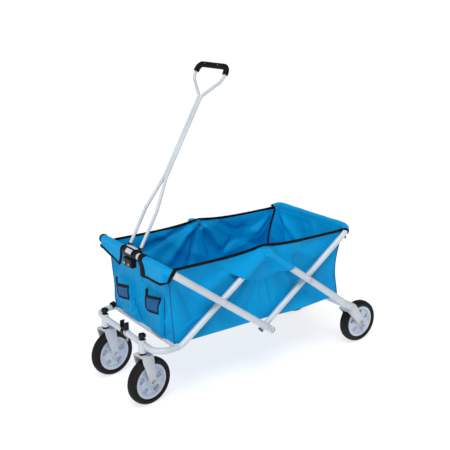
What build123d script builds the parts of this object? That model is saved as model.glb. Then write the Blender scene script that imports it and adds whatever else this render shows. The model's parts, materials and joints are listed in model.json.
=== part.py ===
from build123d import *
import os
from math import atan2, cos, hypot, radians, sin, tan

# Folding beach cart, in millimetres. +X is forward (the pulling end), +Y the cart's left, +Z up,
# and z = 0 is the ground. Both sides are the same four-bar scissor. The model is laid out about the
# scissor's middle and moved forward by MIDDLE_X when written, so the whole cart stands centred.
MIDDLE_X = 39.5

# Scissor: one link runs from a middle pivot to an end corner
REACH = 430.0
LOW_Z = 230.0
HIGH_Z = 543.0
OUTER_TUBE = 28.0
INNER_TUBE = 24.0
WALL = 1.5
OUTER_Y = 272.0
LAYER_GAP = 1.0
TAIL = 22.0
TOP_TAIL = 12.0
PIVOT_R = 4.0
FIT = 0.06
OPEN_PIVOT_FIT = 0.6

# Ends of the frames beyond the scissor's corners
TOP_BEYOND = 34.0
REAR_LOW_BEYOND = 65.0
BEND_R = 42.0

# Front hoop that carries the casters
HOOP_X = 505.0
HOOP_Z = 250.0
HOOP_CORNER_R = 56.0
SLOPE_BEND_R = 60.0

# Bars under the floor, bolted between the lower links
FLOOR_BAR_X = 420.0
FLOOR_BAR_R = 6.5
BAR_BOLT_R = 3.0
CENTRE_BAR_R = 9.5

# Wheels and forks
WHEEL_R = 95.0
TYRE_W = 44.0
RIM_R = 71.0
RIM_IN_R = 60.0
HUB_W = 50.0
BOSS_R = 18.0
AXLE_R = 5.0
FORK_IN = 54.0
PLATE = 3.0
CASTER_X = 512.0
CASTER_Y = 150.0
TRAIL = 26.0
CASTER_TURN = 8.0
POST_R = 15.0
POST_LOW_Z = 221.0
POST_TOP_Z = 274.0
STEM_R = 6.0
CROWN_TOP_Z = 212.0
REAR_AXLE_X = -569.0
REAR_WHEEL_Y = 212.0

# Handle, which leans back in one plane above the front rail
LEAN = 29.2
ROD_R = 6.5
LEG_Y = 40.0
LEG_BEND = 186.0
STEM_FOOT = 322.0
STEM_NECK = 659.0
STEM_Y = 6.9
GRIP_HALF = 98.0
GRIP_TOP = 789.0
GRIP_R = 11.5
GRIP_BEND_R = 26.0
SHOULDER_UP = 746.0
FOOT_UP = 20.0

# Fabric tub
FLOOR_Z = 256.0
SHEET = 3.0
SIDE_Y = 226.0
PANEL_TOP_X = 439.0
PANEL_FOOT_X = 418.0
SIDE_TOP_Z = 556.0
SIDE_PEAK_Z = 567.0
SLEEVE_GAP = 0.6
CUTOUT_Y = 62.0

SLOPE = atan2(HIGH_Z - LOW_Z, REACH)
LINK = hypot(REACH, HIGH_Z - LOW_Z)
INNER_Y = OUTER_Y - OUTER_TUBE / 2 - LAYER_GAP - INNER_TUBE / 2
CROSS_Z = (LOW_Z + HIGH_Z) / 2
REAR_BAR_Z = HIGH_Z - FLOOR_BAR_X * tan(SLOPE)
RAIL_X = (LINK + TOP_BEYOND) * cos(SLOPE)
RAIL_Z = LOW_Z + (LINK + TOP_BEYOND) * sin(SLOPE)
UP = Vector(-sin(radians(LEAN)), 0, cos(radians(LEAN)))
SIDES = {"near": 1, "far": -1}
RAILS = {1: (OUTER_Y, OUTER_TUBE), -1: (INNER_Y, INNER_TUBE)}
PARTS = {}


def add(name, *solids):
    PARTS[name] = solids[0] if len(solids) == 1 else Compound(children=list(solids))


def bar(x, z, y0, y1, radius):
    """A round bar along Y."""
    return Pos(x, (y0 + y1) / 2, z) * Rot(90, 0, 0) * Cylinder(radius, abs(y1 - y0))


def both(solid):
    """The solid and its copy across the cart's middle plane."""
    return [solid, mirror(solid, about=Plane.XZ)]


def cut_all(solid, *tools):
    for tool in tools:
        solid = solid - tool
    return solid


def tube(points, radii, diameter, inner=None):
    """A round tube along straight runs joined by tangent arcs. inner is the bore's diameter."""
    path = FilletPolyline(*points, radius=radii)
    section = Circle(diameter / 2) - Circle((inner if inner else diameter - 2 * WALL) / 2)
    return sweep(Plane(origin=path @ 0, z_dir=path % 0) * section, path=path)


def rising(distance, front, y):
    """A point on an upper link, measured up the slope from the low middle pivot."""
    return Vector(front * distance * cos(SLOPE), y, LOW_Z + distance * sin(SLOPE))


def falling(distance, front, y):
    """A point on a lower link, measured down the slope from the high middle pivot."""
    return Vector(front * distance * cos(SLOPE), y, HIGH_Z - distance * sin(SLOPE))


def pivot_holes(frame, y, *centres):
    """The frame with a hole for a pivot bolt through both of its side tubes."""
    for x, z, radius in centres:
        frame = cut_all(frame, *both(bar(x, z, y - 20, y + 20, radius)))
    return frame


def end_caps(point_at, distance, front, y, diameter):
    """Plastic plugs in a frame's two open tube ends: a disc on the end and a spigot in the bore."""
    solids = []
    for side in (y, -y):
        end = point_at(distance, front, side)
        along = (point_at(distance + 1, front, side) - end).normalized()
        disc = Plane(origin=end - along * 1.5, z_dir=along) * Cylinder(diameter / 2, 3)
        spigot = Plane(origin=end + along * 5, z_dir=along) * Cylinder(diameter / 2 - WALL, 10)
        solids.append(disc + spigot)
    return solids


def upper_frame(front, y, diameter, bolt_fit):
    """A U of tube: two upper links and the top rail that joins them."""
    top = LINK + TOP_BEYOND
    points = [rising(-TAIL, front, y), rising(top, front, y), rising(top, front, -y),
              rising(-TAIL, front, -y)]
    frame = tube(points, [BEND_R, BEND_R], diameter)
    middle = (front * REACH / 2, CROSS_Z, PIVOT_R + bolt_fit)
    return pivot_holes(frame, y, (0, LOW_Z, PIVOT_R + FIT), middle)


def post(y):
    """The upright bush on the front hoop that a caster's stem turns in."""
    height = POST_TOP_Z - POST_LOW_Z
    return Pos(CASTER_X, y, (POST_TOP_Z + POST_LOW_Z) / 2) * Cylinder(POST_R, height)


def front_lower_frame():
    """Two lower links, the level hoop that joins them ahead of the tub, and its two caster posts."""
    bend_x = (HIGH_Z - HOOP_Z) / tan(SLOPE)
    y = INNER_Y
    points = [falling(-TOP_TAIL, 1, y), (bend_x, y, HOOP_Z), (HOOP_X, y, HOOP_Z),
              (HOOP_X, -y, HOOP_Z), (bend_x, -y, HOOP_Z), falling(-TOP_TAIL, 1, -y)]
    radii = [SLOPE_BEND_R, HOOP_CORNER_R, HOOP_CORNER_R, SLOPE_BEND_R]
    frame = tube(points, radii, INNER_TUBE)
    bores = []
    for side in (CASTER_Y, -CASTER_Y):
        frame = frame + post(side)
        bores.append(Pos(CASTER_X, side, 250) * Cylinder(POST_R - 3, 100))
    frame = cut_all(frame, *bores)
    bar_hole = (FLOOR_BAR_X, HOOP_Z - 1, BAR_BOLT_R)
    return pivot_holes(frame, y, (0, HIGH_Z, PIVOT_R), (REACH / 2, CROSS_Z, PIVOT_R + FIT), bar_hole)


def rear_lower_frame():
    """Two lower links and the cross tube that carries the rear forks."""
    end = LINK + REAR_LOW_BEYOND
    y = OUTER_Y
    points = [falling(-TOP_TAIL, -1, y), falling(end, -1, y), falling(end, -1, -y),
              falling(-TOP_TAIL, -1, -y)]
    frame = tube(points, [BEND_R, BEND_R], OUTER_TUBE)
    open_hole = (0, HIGH_Z, PIVOT_R + OPEN_PIVOT_FIT)
    middle = (-REACH / 2, CROSS_Z, PIVOT_R + FIT)
    return pivot_holes(frame, y, open_hole, middle, (-FLOOR_BAR_X, REAR_BAR_Z, BAR_BOLT_R))


def pivot_bolt(x, z, inside=INNER_Y - INNER_TUBE / 2 - 1, head_r=8.0):
    """A shouldered rivet through both layers of one side, with a head at each end."""
    outside = OUTER_Y + OUTER_TUBE / 2 + 1
    shoulder_y = INNER_Y + INNER_TUBE / 2
    head = 2.4
    bolt = bar(x, z, inside, outside, PIVOT_R) + bar(x, z, inside - head, inside, head_r)
    bolt = bolt + bar(x, z, outside, outside + head, 8)
    return bolt + bar(x, z, shoulder_y + 0.1, shoulder_y + LAYER_GAP - 0.1, 11)


def tyre():
    """A rubber tyre about the Y axis, with a crowned tread."""
    half = TYRE_W / 2
    with BuildPart() as part:
        with BuildSketch(Plane.XY):
            with BuildLine():
                start = (RIM_R, -half + 5)
                Polyline((RIM_R, half - 5), (RIM_R, -half + 5))
                ThreePointArc(start, (RIM_R + 9, -half), (WHEEL_R - 7, -half + 3))
                ThreePointArc((WHEEL_R - 7, -half + 3), (WHEEL_R, 0), (WHEEL_R - 7, half - 3))
                ThreePointArc((WHEEL_R - 7, half - 3), (RIM_R + 9, half), (RIM_R, half - 5))
            make_face()
        revolve(axis=Axis.Y)
    return part.part


def hub():
    """A moulded wheel about the Y axis: rim, web with five pockets each side, and boss."""
    rim = Cylinder(RIM_R, TYRE_W - 10) - Cylinder(RIM_IN_R, TYRE_W)
    web = Cylinder(RIM_IN_R + 1, 22)
    boss = Cylinder(BOSS_R, HUB_W)
    body = rim + web + boss
    pocket_r = 11.0
    for k in range(5):
        turn = Rot(0, 0, 90 + 72 * k)
        for z in (11, -11):
            pocket = Pos(41, 0, z) * Cylinder(pocket_r, 16)
            wedge = Pos(46, 0, z) * Box(14, 26, 16)
            body = body - turn * (pocket + wedge)
    body = body - Cylinder(AXLE_R + FIT, HUB_W + 10)
    return Rot(90, 0, 0) * body


def axle_bolt():
    """A bolt about the Y axis with its hexagon head, washer and nut outside the fork."""
    side = FORK_IN / 2 + PLATE
    shank = Cylinder(AXLE_R, 2 * side + 16)
    head = Pos(0, 0, side + 3.5) * extrude(RegularPolygon(8.5, 6), 3.5, both=True)
    nut = Pos(0, 0, -side - 4) * extrude(RegularPolygon(8.5, 6), 4, both=True)
    return Rot(90, 0, 0) * (shank + head + nut)


def side_plate(outline, tip, tip_r, y):
    """One cheek of a fork: a tapering plate with a round end, bored for the axle."""
    edges = Polyline(*outline, close=True).edges() + CenterArc(tip, tip_r, 0, 360).edges()
    plate = extrude(Plane.XZ * make_hull(edges), PLATE / 2, both=True)
    return Pos(0, y, 0) * (plate - bar(tip[0], tip[1], -20, 20, AXLE_R))


def caster_fork():
    """A caster's fork about its stem: level crown and two tapering cheeks that trail the stem."""
    crown_front = 23.0
    crown_back = 29.0
    cheek_y = FORK_IN / 2 + PLATE / 2
    length = crown_front + crown_back
    crown = Pos((crown_front - crown_back) / 2, 0, CROWN_TOP_Z - PLATE / 2) * Box(
        length, FORK_IN + 2 * PLATE, PLATE)
    outline = [(crown_front, CROWN_TOP_Z), (-crown_back, CROWN_TOP_Z),
               (-crown_back - 3, CROWN_TOP_Z - 22), (crown_front - 3, CROWN_TOP_Z - 22)]
    fork = crown
    for y in (cheek_y, -cheek_y):
        fork = fork + side_plate(outline, (-TRAIL, WHEEL_R), 13, y)
    return fork - Pos(0, 0, CROWN_TOP_Z) * Cylinder(STEM_R, 20)


def rear_fork():
    """A rear fork about the cart's middle plane: a crown square to the slope and two bent cheeks."""
    crown_at = falling(LINK + REAR_LOW_BEYOND + OUTER_TUBE / 2 + PLATE / 2, -1, 0)
    along = Vector(-cos(SLOPE), 0, -sin(SLOPE))
    across = Vector(-sin(SLOPE), 0, cos(SLOPE))
    half = 24.0
    place = Plane(origin=crown_at, x_dir=across, z_dir=along)
    crown = place * Box(2 * half, FORK_IN + 2 * PLATE, PLATE)
    corners = [crown_at + across * half - along * PLATE / 2, crown_at - across * half - along * PLATE / 2,
               crown_at - across * (half - 2) + along * 22, crown_at + across * half + along * 22]
    outline = [(c.X, c.Z) for c in corners]
    cheek_y = FORK_IN / 2 + PLATE / 2
    fork = crown
    for y in (cheek_y, -cheek_y):
        fork = fork + side_plate(outline, (REAR_AXLE_X, WHEEL_R), 14, y)
    return fork


def handle_point(y, up):
    """A point in the handle's plane: across the cart, and up the handle from the rail's axis."""
    return Vector(RAIL_X, y, RAIL_Z) + UP * up


def handle_outline():
    """Corner points and bend radii of the handle's one long rod, from foot to foot."""
    half = [(LEG_Y, FOOT_UP, 0), (LEG_Y, LEG_BEND, 60), (STEM_Y, STEM_FOOT, 60),
            (STEM_Y, STEM_NECK, 30), (86, 724, 34), (GRIP_HALF, SHOULDER_UP, 24),
            (GRIP_HALF - 4, GRIP_TOP, GRIP_BEND_R)]
    points = [(-y, up) for y, up, _ in half] + [(y, up) for y, up, _ in reversed(half)]
    radii = [r for _, _, r in half[1:]] + [r for _, _, r in reversed(half[1:])]
    return [handle_point(y, up) for y, up in points], radii


def grip():
    """The soft sleeve over the handle's top bar and its two rounded corners."""
    corner = GRIP_HALF - 4
    share = 0.27
    start_y = GRIP_HALF - 4 * share
    start_up = SHOULDER_UP + (GRIP_TOP - SHOULDER_UP) * share
    points = [handle_point(-start_y, start_up), handle_point(-corner, GRIP_TOP),
              handle_point(corner, GRIP_TOP), handle_point(start_y, start_up)]
    return tube(points, [GRIP_BEND_R, GRIP_BEND_R], 2 * GRIP_R, 2 * ROD_R)


def knuckle():
    """A plastic collar that turns on the front rail and holds one foot of the handle."""
    collar = bar(RAIL_X, RAIL_Z, LEG_Y - 9, LEG_Y + 9, OUTER_TUBE / 2 + 5)
    socket = Plane(origin=handle_point(LEG_Y, 22), z_dir=UP) * Cylinder(ROD_R + 3, 22)
    rod = Plane(origin=handle_point(LEG_Y, 62), z_dir=UP) * Cylinder(ROD_R, 100)
    bore = bar(RAIL_X, RAIL_Z, LEG_Y - 20, LEG_Y + 20, OUTER_TUBE / 2 + FIT)
    return cut_all(collar + socket, rod, bore)


def saddle():
    """The steel saddle welded between the handle's feet, curved over the rail clamp."""
    inner = OUTER_TUBE / 2 + 9.5
    width = 2 * (LEG_Y - ROD_R)
    ring = bar(RAIL_X, RAIL_Z, -width / 2, width / 2, inner + 2.5)
    ring = ring - bar(RAIL_X, RAIL_Z, -width, width, inner)
    keep = Pos(RAIL_X, 0, RAIL_Z) * Rot(0, -LEAN, 0) * Pos(0, 0, 40 + 19) * Box(80, 200, 80)
    sockets = both(Plane(origin=handle_point(LEG_Y, 30), z_dir=UP) * Cylinder(ROD_R + 3.6, 60))
    return cut_all(ring & keep, *sockets)


def rail_clamp():
    """The plastic clamp fixed on the rail between the knuckles, with the lug below it."""
    half = LEG_Y - 10
    barrel = bar(RAIL_X, RAIL_Z, -half, half, OUTER_TUBE / 2 + 7)
    lug = Pos(RAIL_X + 13, 0, RAIL_Z - 33) * Box(24, 2 * half, 34)
    lug = fillet(lug.edges().filter_by(Axis.Y), 5)
    return barrel + lug - bar(RAIL_X, RAIL_Z, -80, 80, OUTER_TUBE / 2)


def sleeve(y, diameter, front, inner_end):
    """A sewn sleeve round half of a top rail, from near its middle to its corner bend."""
    corner = rising(LINK + TOP_BEYOND, front, y)
    start = Vector(corner.X, inner_end, corner.Z)
    stop = rising(LINK + TOP_BEYOND - BEND_R - 1, front, y)
    wide = diameter + 2 * SLEEVE_GAP
    return tube([start, corner, stop], [BEND_R], wide + 4, wide)


def rail_room(front, y, diameter):
    """The room that a top rail, its sleeve and its corner bend take, on one side of the cart."""
    corner = rising(LINK + TOP_BEYOND, front, y)
    path = FilletPolyline(Vector(corner.X, 0, corner.Z), corner, rising(LINK - 90, front, y),
                          radius=BEND_R)
    return sweep(Plane(origin=path @ 0, z_dir=path % 0) * Circle(diameter / 2 + 4), path=path)


def end_panel(front):
    """A fabric end wall: a sheet that leans out a little from floor to rail."""
    outline = [(PANEL_FOOT_X, FLOOR_Z), (PANEL_FOOT_X + SHEET, FLOOR_Z),
               (PANEL_TOP_X + SHEET, RAIL_Z - 17), (PANEL_TOP_X, RAIL_Z - 17)]
    face = make_face(Polyline(*[(front * x, z) for x, z in outline], close=True))
    wall = extrude(Plane.XZ * face, SIDE_Y, both=True)
    return cut_all(wall, *both(rail_room(front, *RAILS[front])))


def side_panel():
    """A fabric side wall, peaked over the high middle pivot."""
    foot = PANEL_FOOT_X - 1
    top = PANEL_TOP_X - 1
    outline = [(-foot, FLOOR_Z), (foot, FLOOR_Z), (top, SIDE_TOP_Z), (60, SIDE_PEAK_Z),
               (-60, SIDE_PEAK_Z), (-top, SIDE_TOP_Z)]
    face = make_face(Polyline(*outline, close=True))
    wall = Pos(0, SIDE_Y + SHEET / 2, 0) * extrude(Plane.XZ * face, SHEET / 2, both=True)
    wall = cut_all(wall, *[rail_room(front, *RAILS[front]) for front in RAILS])
    return wall - bar(0, HIGH_Z, SIDE_Y - 10, SIDE_Y + 20, 12.2)


def panel_button():
    """A plastic button that hangs a side wall on the inner end of a high pivot's rivet."""
    inside = INNER_Y - INNER_TUBE / 2
    return bar(0, HIGH_Z, SIDE_Y - 4, inside - 0.5, 12) - bar(0, HIGH_Z, 200, 260, PIVOT_R + FIT)


def pivot_flap():
    """The flap of the side wall that passes over both links' top ends and hangs outside them."""
    outer = OUTER_Y + OUTER_TUBE / 2 + 4
    sheet = 2.0
    outline = [(-150, 455), (150, 455), (150, 472), (60, SIDE_PEAK_Z), (-60, SIDE_PEAK_Z),
               (-150, 472)]
    face = make_face(Polyline(*outline, close=True))
    hang = Pos(0, outer + sheet / 2, 0) * extrude(Plane.XZ * face, sheet / 2, both=True)
    over_y = (SIDE_Y + SHEET + outer) / 2
    over = Pos(0, over_y, SIDE_PEAK_Z - sheet / 2) * Box(120, outer - SIDE_Y - SHEET, sheet)
    return hang + over


def front_pocket():
    """A flat mesh pocket on the front wall's outer face."""
    low, high, half = 332.0, 410.0, 53.0
    lean = (PANEL_TOP_X - PANEL_FOOT_X) / (RAIL_Z - 17 - FLOOR_Z)
    outline = []
    for z, out in ((low, 0.2), (high, 0.2), (high, 3.0), (low, 2.0)):
        outline.append((PANEL_FOOT_X + SHEET + (z - FLOOR_Z) * lean + out, z))
    face = make_face(Polyline(*outline, close=True))
    return Pos(0, 117, 0) * extrude(Plane.XZ * face, half, both=True)


def front_flap():
    """The front wall's edge that hangs down before the rail, over one of its sleeves."""
    x = RAIL_X + OUTER_TUBE / 2 + SLEEVE_GAP + 4
    high_y = OUTER_Y - BEND_R
    length = high_y - CUTOUT_Y
    return Pos(x, CUTOUT_Y + length / 2, (RAIL_Z + 516) / 2) * Box(2, length, RAIL_Z - 516)


def swivel_bush(z):
    """A plain bush pressed in a caster post."""
    return Pos(CASTER_X, CASTER_Y, z) * (Cylinder(POST_R - 3, 12) - Cylinder(STEM_R + FIT, 20))


def caster_knob():
    """The lobed cap nut on a caster's stem: a ring of lobes under a dome, about the stem."""
    ring = Cylinder(13.5, 12)
    for k in range(6):
        ring = ring + Rot(0, 0, 60 * k) * Pos(11.5, 0, 0) * Cylinder(4.2, 12)
    dome = Pos(0, 0, 5) * (Sphere(12.5) & Pos(0, 0, 8) * Box(30, 30, 16))
    knob = Pos(0, 0, POST_TOP_Z + 7) * (ring + dome)
    return knob - Pos(0, 0, POST_TOP_Z) * Cylinder(STEM_R, 40)


def handle_clip():
    """The snap clip on the hoop that holds the handle's stem when the cart is folded."""
    base_z = HOOP_Z + INNER_TUBE / 2 + 1
    ring = bar(HOOP_X, HOOP_Z, -9, 9, INNER_TUBE / 2 + 4)
    base = Pos(HOOP_X, 0, base_z + 2.5) * Box(18, 40, 7)
    clip = ring + base
    for solid in both(Pos(HOOP_X, 18, base_z + 16) * Box(18, 4, 24)):
        clip = clip + solid
    for solid in both(Pos(HOOP_X, 16, base_z + 27) * Rot(0, 90, 0) * Cylinder(3.5, 18)):
        clip = clip + solid
    return clip - bar(HOOP_X, HOOP_Z, -40, 40, INNER_TUBE / 2)


def clip_hook():
    """The small steel hook that hangs from the clip, below the hoop."""
    y = 24
    points = [(HOOP_X, y, HOOP_Z - 14), (HOOP_X, y, HOOP_Z - 34), (HOOP_X, y - 12, HOOP_Z - 34),
              (HOOP_X, y - 12, HOOP_Z - 25)]
    path = FilletPolyline(*points, radius=[5, 3.5])
    wire = sweep(Plane(origin=path @ 0, z_dir=path % 0) * Circle(1.6), path=path)
    eye = bar(HOOP_X, HOOP_Z, y - 2.5, y + 2.5, INNER_TUBE / 2 + 3)
    return wire + eye - bar(HOOP_X, HOOP_Z, 0, 40, INNER_TUBE / 2)


def build_centre():
    inner_face = INNER_Y - INNER_TUBE / 2
    length = 2 * (inner_face - 1)
    bore = Rot(90, 0, 0) * Cylinder(CENTRE_BAR_R - WALL, length + 2)
    centre_tube = Rot(90, 0, 0) * Cylinder(CENTRE_BAR_R, length) - bore
    bolt = pivot_bolt(0, LOW_Z, head_r=CENTRE_BAR_R - WALL)
    outside = OUTER_Y + OUTER_TUBE / 2 + 1
    cap = bar(0, LOW_Z, outside, outside + 4, 13) - bar(0, LOW_Z, outside - 1, outside + 2.4, 8)
    cap = cap - bar(0, LOW_Z, outside, outside + 6, 5)
    add("centre_cross_tube", Pos(0, 0, LOW_Z) * centre_tube)
    add("centre_pivot_bolts", *both(bolt))
    add("centre_pivot_caps", *both(cap))


def build_front_upper():
    add("front_upper_frame", upper_frame(1, OUTER_Y, OUTER_TUBE, 0))
    add("front_upper_end_caps", *end_caps(rising, -TAIL, 1, OUTER_Y, OUTER_TUBE))
    add("front_cross_bolts", *both(pivot_bolt(REACH / 2, CROSS_Z)))
    lug_x, lug_z = RAIL_X + 13, RAIL_Z - 36
    screw = Rot(0, 90, 0) * (Cylinder(3, 20) + Pos(0, 0, 11) * Cylinder(5, 3))
    screws = [Pos(lug_x + 3.5, y, lug_z) * screw for y in (16, -16)]
    add("rail_clamp", cut_all(rail_clamp(), *screws))
    add("rail_clamp_screws", *screws)


def build_rear_upper():
    add("rear_upper_frame", upper_frame(-1, INNER_Y, INNER_TUBE, 0))
    add("rear_upper_end_caps", *end_caps(rising, -TAIL, -1, INNER_Y, INNER_TUBE))
    add("rear_cross_bolts", *both(pivot_bolt(-REACH / 2, CROSS_Z)))


def floor_bar(x, z, half, bolt_outside):
    """A bar under the floor with the bolt that holds each of its ends."""
    hole = bar(x, z, half - 20, half + 5, BAR_BOLT_R)
    rod = cut_all(bar(x, z, -half, half, FLOOR_BAR_R), *both(hole))
    bolt = bar(x, z, half - 20, bolt_outside, BAR_BOLT_R)
    return rod, both(bolt + bar(x, z, bolt_outside, bolt_outside + 2.2, 5.5))


def build_front_lower():
    add("front_lower_frame", front_lower_frame())
    add("top_pivot_bolts", *both(pivot_bolt(0, HIGH_Z, inside=SIDE_Y - 4.5)))
    inner_face = INNER_Y - INNER_TUBE / 2
    rod, bolts = floor_bar(FLOOR_BAR_X, HOOP_Z - 1, inner_face - 0.2, INNER_Y + INNER_TUBE / 2 + 0.1)
    add("front_floor_bar", rod)
    add("front_floor_bar_bolts", *bolts)
    low, high = POST_LOW_Z + 6, POST_TOP_Z - 6
    add("swivel_bushes", *both(swivel_bush(low)), *both(swivel_bush(high)))
    add("handle_clip", handle_clip())
    add("clip_hook", clip_hook())


def build_rear_lower():
    add("rear_lower_frame", rear_lower_frame())
    inner_face = OUTER_Y - OUTER_TUBE / 2
    rod, bolts = floor_bar(-FLOOR_BAR_X, REAR_BAR_Z, inner_face - 0.2, OUTER_Y + OUTER_TUBE / 2 + 0.1)
    add("rear_floor_bar", rod)
    add("rear_floor_bar_bolts", *bolts)
    along = Vector(-cos(SLOPE), 0, -sin(SLOPE))
    bolts = []
    for side, sign in SIDES.items():
        y = sign * REAR_WHEEL_Y
        fork = Pos(0, y, 0) * rear_fork()
        tools = []
        for dy in (14, -14):
            middle = falling(LINK + REAR_LOW_BEYOND, -1, y + dy)
            shank = Plane(origin=middle + along * 1, z_dir=along) * Cylinder(3, 38)
            head = Plane(origin=middle - along * 19, z_dir=along) * Cylinder(6, 3)
            nut = Plane(origin=middle + along * 19.5, z_dir=along) * Cylinder(5.5, 4)
            bolts.append(shank + head + nut)
            tools.append(shank)
        add("rear_fork_" + side, cut_all(fork, *tools))
        PARTS["rear_lower_frame"] = cut_all(PARTS["rear_lower_frame"], *tools)
    add("rear_fork_bolts", *bolts)
    axle = Pos(REAR_AXLE_X, REAR_WHEEL_Y, WHEEL_R) * axle_bolt()
    add("rear_axle_bolts", *both(axle))


def build_casters():
    stem_top = POST_TOP_Z + 14
    stem_foot = CROWN_TOP_Z - PLATE - 5
    stem = Pos(0, 0, (stem_top + stem_foot) / 2) * Cylinder(STEM_R, stem_top - stem_foot)
    stem = stem + Pos(0, 0, stem_foot + 2.5) * Cylinder(11, 5)
    washer_high = POST_LOW_Z - CROWN_TOP_Z - 0.3
    washer = Cylinder(13, washer_high) - Cylinder(STEM_R, 20)
    for side, sign in SIDES.items():
        place = Pos(CASTER_X, sign * CASTER_Y, 0) * Rot(0, 0, CASTER_TURN)
        axle = Pos(-TRAIL, 0, WHEEL_R) * axle_bolt()
        add("caster_fork_" + side, place * caster_fork())
        add("caster_stem_" + side, place * stem)
        add("caster_washer_" + side, place * Pos(0, 0, CROWN_TOP_Z + washer_high / 2) * washer)
        add("caster_knob_" + side, place * caster_knob())
        add("caster_axle_bolt_" + side, place * axle)
        add("front_tyre_" + side, place * Pos(-TRAIL, 0, WHEEL_R) * tyre())
        add("front_hub_" + side, place * Pos(-TRAIL, 0, WHEEL_R) * hub())


def build_rear_wheels():
    for side, sign in SIDES.items():
        place = Pos(REAR_AXLE_X, sign * REAR_WHEEL_Y, WHEEL_R)
        add("rear_tyre_" + side, place * tyre())
        add("rear_hub_" + side, place * hub())


def build_handle():
    points, radii = handle_outline()
    rod = tube(points, radii, 2 * ROD_R)
    pin = bar(RAIL_X + 28 * UP.X, RAIL_Z + 28 * UP.Z, LEG_Y - 10, LEG_Y + 11, 2.5)
    pins = both(pin)
    screw_x, screw_z = handle_point(0, GRIP_TOP).X, handle_point(0, GRIP_TOP).Z
    out = Vector(cos(radians(LEAN)), 0, sin(radians(LEAN)))
    screws = []
    for y in (42, -42):
        middle = Vector(screw_x, y, screw_z) + out * (GRIP_R - 1)
        screws.append(Plane(origin=middle, z_dir=out) * Cylinder(2.6, 3))
    add("handle_rod", cut_all(rod, *pins))
    add("handle_grip", cut_all(grip(), *screws))
    add("grip_screws", *screws)
    add("handle_knuckles", *both(cut_all(knuckle(), pin)))
    add("handle_foot_pins", *pins)
    add("handle_saddle", saddle())


def build_tub():
    wall_near, wall_far = both(side_panel())
    flap_near, flap_far = both(pivot_flap())
    add("side_panel_near", wall_near)
    add("side_panel_far", wall_far)
    add("pivot_flap_near", flap_near)
    add("pivot_flap_far", flap_far)
    add("panel_buttons", *both(panel_button()))
    floor = Box(2 * (PANEL_FOOT_X - 1), 2 * SIDE_Y - 1, SHEET)
    add("floor_panel", Pos(0, 0, FLOOR_Z + SHEET / 2) * floor)


def build_end_walls():
    add("front_panel", end_panel(1), *both(front_flap()))
    add("front_sleeves", *both(sleeve(OUTER_Y, OUTER_TUBE, 1, CUTOUT_Y)))
    add("front_pockets", *both(front_pocket()))
    near_half, far_half = both(sleeve(INNER_Y, INNER_TUBE, -1, 0))
    add("rear_panel", end_panel(-1))
    add("rear_sleeve", near_half + far_half)


def main():
    build_centre()
    build_front_upper()
    build_rear_upper()
    build_front_lower()
    build_rear_lower()
    build_casters()
    build_rear_wheels()
    build_handle()
    build_tub()
    build_end_walls()
    os.makedirs("parts", exist_ok=True)
    for name, solid in PARTS.items():
        export_step(Pos(MIDDLE_X, 0, 0) * solid, os.path.join("parts", name + ".step"))


main()
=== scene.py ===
import json
import math

import bpy
import numpy as np
from mathutils import Euler, Matrix, Vector


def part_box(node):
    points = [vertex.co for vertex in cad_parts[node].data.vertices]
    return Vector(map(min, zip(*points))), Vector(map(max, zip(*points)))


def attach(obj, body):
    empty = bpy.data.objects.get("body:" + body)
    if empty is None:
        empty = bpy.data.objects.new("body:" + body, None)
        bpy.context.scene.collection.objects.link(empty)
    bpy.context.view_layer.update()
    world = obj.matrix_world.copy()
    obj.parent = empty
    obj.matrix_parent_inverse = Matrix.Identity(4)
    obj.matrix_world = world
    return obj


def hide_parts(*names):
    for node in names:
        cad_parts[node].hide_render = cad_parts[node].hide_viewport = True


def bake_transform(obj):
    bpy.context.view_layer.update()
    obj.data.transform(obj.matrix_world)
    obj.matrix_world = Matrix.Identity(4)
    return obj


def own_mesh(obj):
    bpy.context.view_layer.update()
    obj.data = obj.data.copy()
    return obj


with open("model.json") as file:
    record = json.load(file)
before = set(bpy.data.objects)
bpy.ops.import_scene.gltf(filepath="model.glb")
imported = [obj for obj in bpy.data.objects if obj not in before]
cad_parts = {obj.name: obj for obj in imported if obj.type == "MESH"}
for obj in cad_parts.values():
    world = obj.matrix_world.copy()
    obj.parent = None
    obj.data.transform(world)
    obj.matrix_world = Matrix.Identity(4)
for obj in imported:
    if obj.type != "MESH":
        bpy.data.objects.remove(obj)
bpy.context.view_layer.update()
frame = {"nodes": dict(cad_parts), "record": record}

scene = bpy.context.scene
NODES = frame["nodes"]
MX = 0.0395                                # x of the scissor's middle
LINK_RISE, LINK_RUN = 0.313, 0.430
SLOPE = math.atan2(LINK_RISE, LINK_RUN)    # of every link of the scissor
RAIL_X, RAIL_Z = 0.4970, 0.5630
RAIL = Vector((RAIL_X, 0, RAIL_Z))
REAR_RAIL = Vector((2 * MX - RAIL_X, 0, RAIL_Z))
PIVOT_Z = 0.543                            # the high middle pivots
SIDE_Y = 0.2275                            # the side walls' distance from the middle plane
FLOOR_Z, TOP_Z = 0.2575, 0.553             # the tub's floor and top, between which heights are shared out
DIP_Z, PEAK_Z = 0.5505, 0.569              # a side wall's top edge: at its lowest, and over the pivot
WALL_LOW_X, WALL_SPREAD = 0.4165, 0.0205   # the tub's half length at the floor, and what it gains at the top
REAR_PULL = 0.028                          # how far the rear end is pulled in at half height


def smooth(t):
    """0 up to t = 0, 1 from t = 1 on, and a soft step between them."""
    t = np.clip(t, 0.0, 1.0)
    return t * t * (3 - 2 * t)


def waves(p, q, seed, count=7, low=1.0, high=4.0):
    """A smooth random field over p and q, of size about 1."""
    rng = np.random.default_rng(seed)
    field = np.zeros(np.broadcast(p, q).shape)
    for _ in range(count):
        angle, rate, phase = rng.uniform(0, math.tau), rng.uniform(low, high), rng.uniform(0, math.tau)
        field = field + np.sin((p * math.cos(angle) + q * math.sin(angle)) * rate * math.tau + phase)
    return field / math.sqrt(count)


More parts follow.
